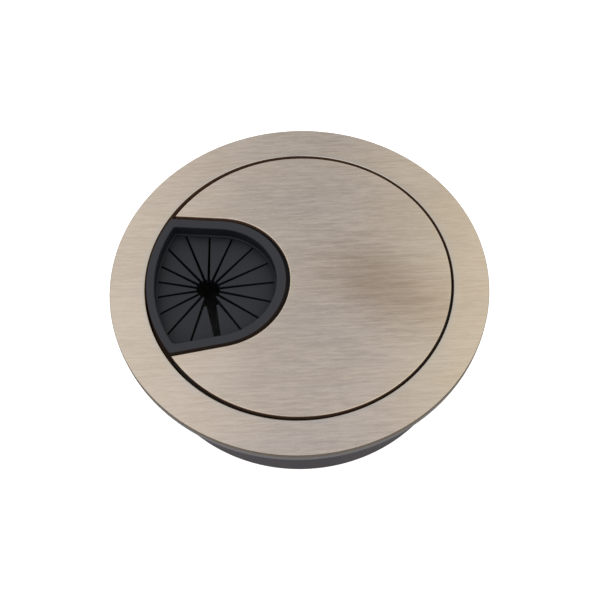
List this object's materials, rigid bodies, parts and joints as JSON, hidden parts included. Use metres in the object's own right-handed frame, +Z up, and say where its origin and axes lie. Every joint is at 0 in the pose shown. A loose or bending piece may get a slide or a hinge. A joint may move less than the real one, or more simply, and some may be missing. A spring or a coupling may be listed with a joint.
{
  "type": "desk grommet",
  "caption": "Round desk cable grommet: brushed metal flange ring over a plastic sleeve, with a turning, lift-out lid whose D-shaped outlet is closed by flexible slit flaps.",
  "frame": {"origin": "centre of the sleeve's foot, on the ring's axis", "axes": "+Z up out of the desk top along the ring's axis; the cable outlet faces -X at rest"},
  "size_m": [0.09, 0.09, 0.0226],
  "materials": {
    "bezel_brass": "antique brass plating with fine straight brushing, satin",
    "lid_brass": "antique brass plating with fine straight brushing, satin",
    "sleeve_plastic": "dark grey moulded plastic, satin",
    "glide_plastic": "black moulded plastic, smooth",
    "carrier_plastic": "black moulded plastic, satin",
    "insert_plastic": "charcoal soft plastic, fine matt texture"
  },
  "bodies": {
    "ring": {"bezel_ring": "bezel_brass", "body_sleeve": "sleeve_plastic"},
    "glide": {"glide_ring": "glide_plastic"},
    "lid": {"lid_plate": "lid_brass", "lid_carrier": "carrier_plastic", "insert_frame": "insert_plastic"},
    "petal_01": {"petal_01": "insert_plastic"},
    "petal_02": {"petal_02": "insert_plastic"},
    "petal_03": {"petal_03": "insert_plastic"},
    "petal_04": {"petal_04": "insert_plastic"},
    "petal_05": {"petal_05": "insert_plastic"},
    "petal_06": {"petal_06": "insert_plastic"},
    "petal_07": {"petal_07": "insert_plastic"},
    "petal_08": {"petal_08": "insert_plastic"},
    "petal_09": {"petal_09": "insert_plastic"},
    "petal_10": {"petal_10": "insert_plastic"},
    "petal_11": {"petal_11": "insert_plastic"},
    "petal_12": {"petal_12": "insert_plastic"},
    "petal_13": {"petal_13": "insert_plastic"},
    "petal_14": {"petal_14": "insert_plastic"},
    "petal_15": {"petal_15": "insert_plastic"},
    "petal_16": {"petal_16": "insert_plastic"},
    "petal_17": {"petal_17": "insert_plastic"}
  },
  "joints": [
    {"name": "lid_turn", "type": "hinge", "parent": "ring", "child": "glide", "pos_m": [0, 0, 0.0141], "axis": [0, 0, 1], "continuous": true},
    {"name": "lid_lift", "type": "slide", "parent": "glide", "child": "lid", "axis": [0, 0, 1], "range_m": [0, 0.03]},
    {"name": "petal_01_flex", "type": "hinge", "parent": "lid", "child": "petal_01", "pos_m": [-0.01671, -0.01292, 0.0187], "axis": [-0.9624, -0.2716, 0], "range_deg": [-50, 70], "stiffness_Nm_per_rad": 0.0003},
    {"name": "petal_02_flex", "type": "hinge", "parent": "lid", "child": "petal_02", "pos_m": [-0.01187, -0.01054, 0.0187], "axis": [-0.7857, -0.6186, 0], "range_deg": [-50, 70], "stiffness_Nm_per_rad": 0.0003},
    {"name": "petal_03_flex", "type": "hinge", "parent": "lid", "child": "petal_03", "pos_m": [-0.00859, -0.00675, 0.0187], "axis": [-0.5003, -0.8658, 0], "range_deg": [-50, 70], "stiffness_Nm_per_rad": 0.0003},
    {"name": "petal_04_flex", "type": "hinge", "parent": "lid", "child": "petal_04", "pos_m": [-0.00693, -0.00192, 0.0187], "axis": [-0.1416, -0.9899, 0], "range_deg": [-50, 70], "stiffness_Nm_per_rad": 0.0003},
    {"name": "petal_05_flex", "type": "hinge", "parent": "lid", "child": "petal_05", "pos_m": [-0.00724, 0.00333, 0.0187], "axis": [0.2478, -0.9688, 0], "range_deg": [-50, 70], "stiffness_Nm_per_rad": 0.0003},
    {"name": "petal_06_flex", "type": "hinge", "parent": "lid", "child": "petal_06", "pos_m": [-0.00965, 0.00821, 0.0187], "axis": [0.6142, -0.7892, 0], "range_deg": [-50, 70], "stiffness_Nm_per_rad": 0.0003},
    {"name": "petal_07_flex", "type": "hinge", "parent": "lid", "child": "petal_07", "pos_m": [-0.01384, 0.01176, 0.0187], "axis": [0.8798, -0.4754, 0], "range_deg": [-50, 70], "stiffness_Nm_per_rad": 0.0003},
    {"name": "petal_08_flex", "type": "hinge", "parent": "lid", "child": "petal_08", "pos_m": [-0.01904, 0.01357, 0.0187], "axis": [0.9859, -0.1676, 0], "range_deg": [-50, 70], "stiffness_Nm_per_rad": 0.0003},
    {"name": "petal_09_flex", "type": "hinge", "parent": "lid", "child": "petal_09", "pos_m": [-0.02494, 0.01447, 0.0187], "axis": [0.991, -0.134, 0], "range_deg": [-50, 70], "stiffness_Nm_per_rad": 0.0003},
    {"name": "petal_10_flex", "type": "hinge", "parent": "lid", "child": "petal_10", "pos_m": [-0.02912, 0.013, 0.0187], "axis": [0.6692, 0.7431, 0], "range_deg": [-50, 70], "stiffness_Nm_per_rad": 0.0003},
    {"name": "petal_11_flex", "type": "hinge", "parent": "lid", "child": "petal_11", "pos_m": [-0.03159, 0.00867, 0.0187], "axis": [0.2674, 0.9636, 0], "range_deg": [-50, 70], "stiffness_Nm_per_rad": 0.0003},
    {"name": "petal_12_flex", "type": "hinge", "parent": "lid", "child": "petal_12", "pos_m": [-0.03251, 0.00414, 0.0187], "axis": [0.1149, 0.9934, 0], "range_deg": [-50, 70], "stiffness_Nm_per_rad": 0.0003},
    {"name": "petal_13_flex", "type": "hinge", "parent": "lid", "child": "petal_13", "pos_m": [-0.03269, 0.00006, 0.0187], "axis": [-0.0275, 0.9996, 0], "range_deg": [-50, 70], "stiffness_Nm_per_rad": 0.0003},
    {"name": "petal_14_flex", "type": "hinge", "parent": "lid", "child": "petal_14", "pos_m": [-0.03227, -0.00411, 0.0187], "axis": [-0.1696, 0.9855, 0], "range_deg": [-50, 70], "stiffness_Nm_per_rad": 0.0003},
    {"name": "petal_15_flex", "type": "hinge", "parent": "lid", "child": "petal_15", "pos_m": [-0.03098, -0.00885, 0.0187], "axis": [-0.3327, 0.943, 0], "range_deg": [-50, 70], "stiffness_Nm_per_rad": 0.0003},
    {"name": "petal_16_flex", "type": "hinge", "parent": "lid", "child": "petal_16", "pos_m": [-0.02797, -0.01296, 0.0187], "axis": [-0.7835, 0.6213, 0], "range_deg": [-50, 70], "stiffness_Nm_per_rad": 0.0003},
    {"name": "petal_17_flex", "type": "hinge", "parent": "lid", "child": "petal_17", "pos_m": [-0.02296, -0.0142, 0.0187], "axis": [-0.991, -0.134, 0], "range_deg": [-50, 70], "stiffness_Nm_per_rad": 0.0003}
  ]
}
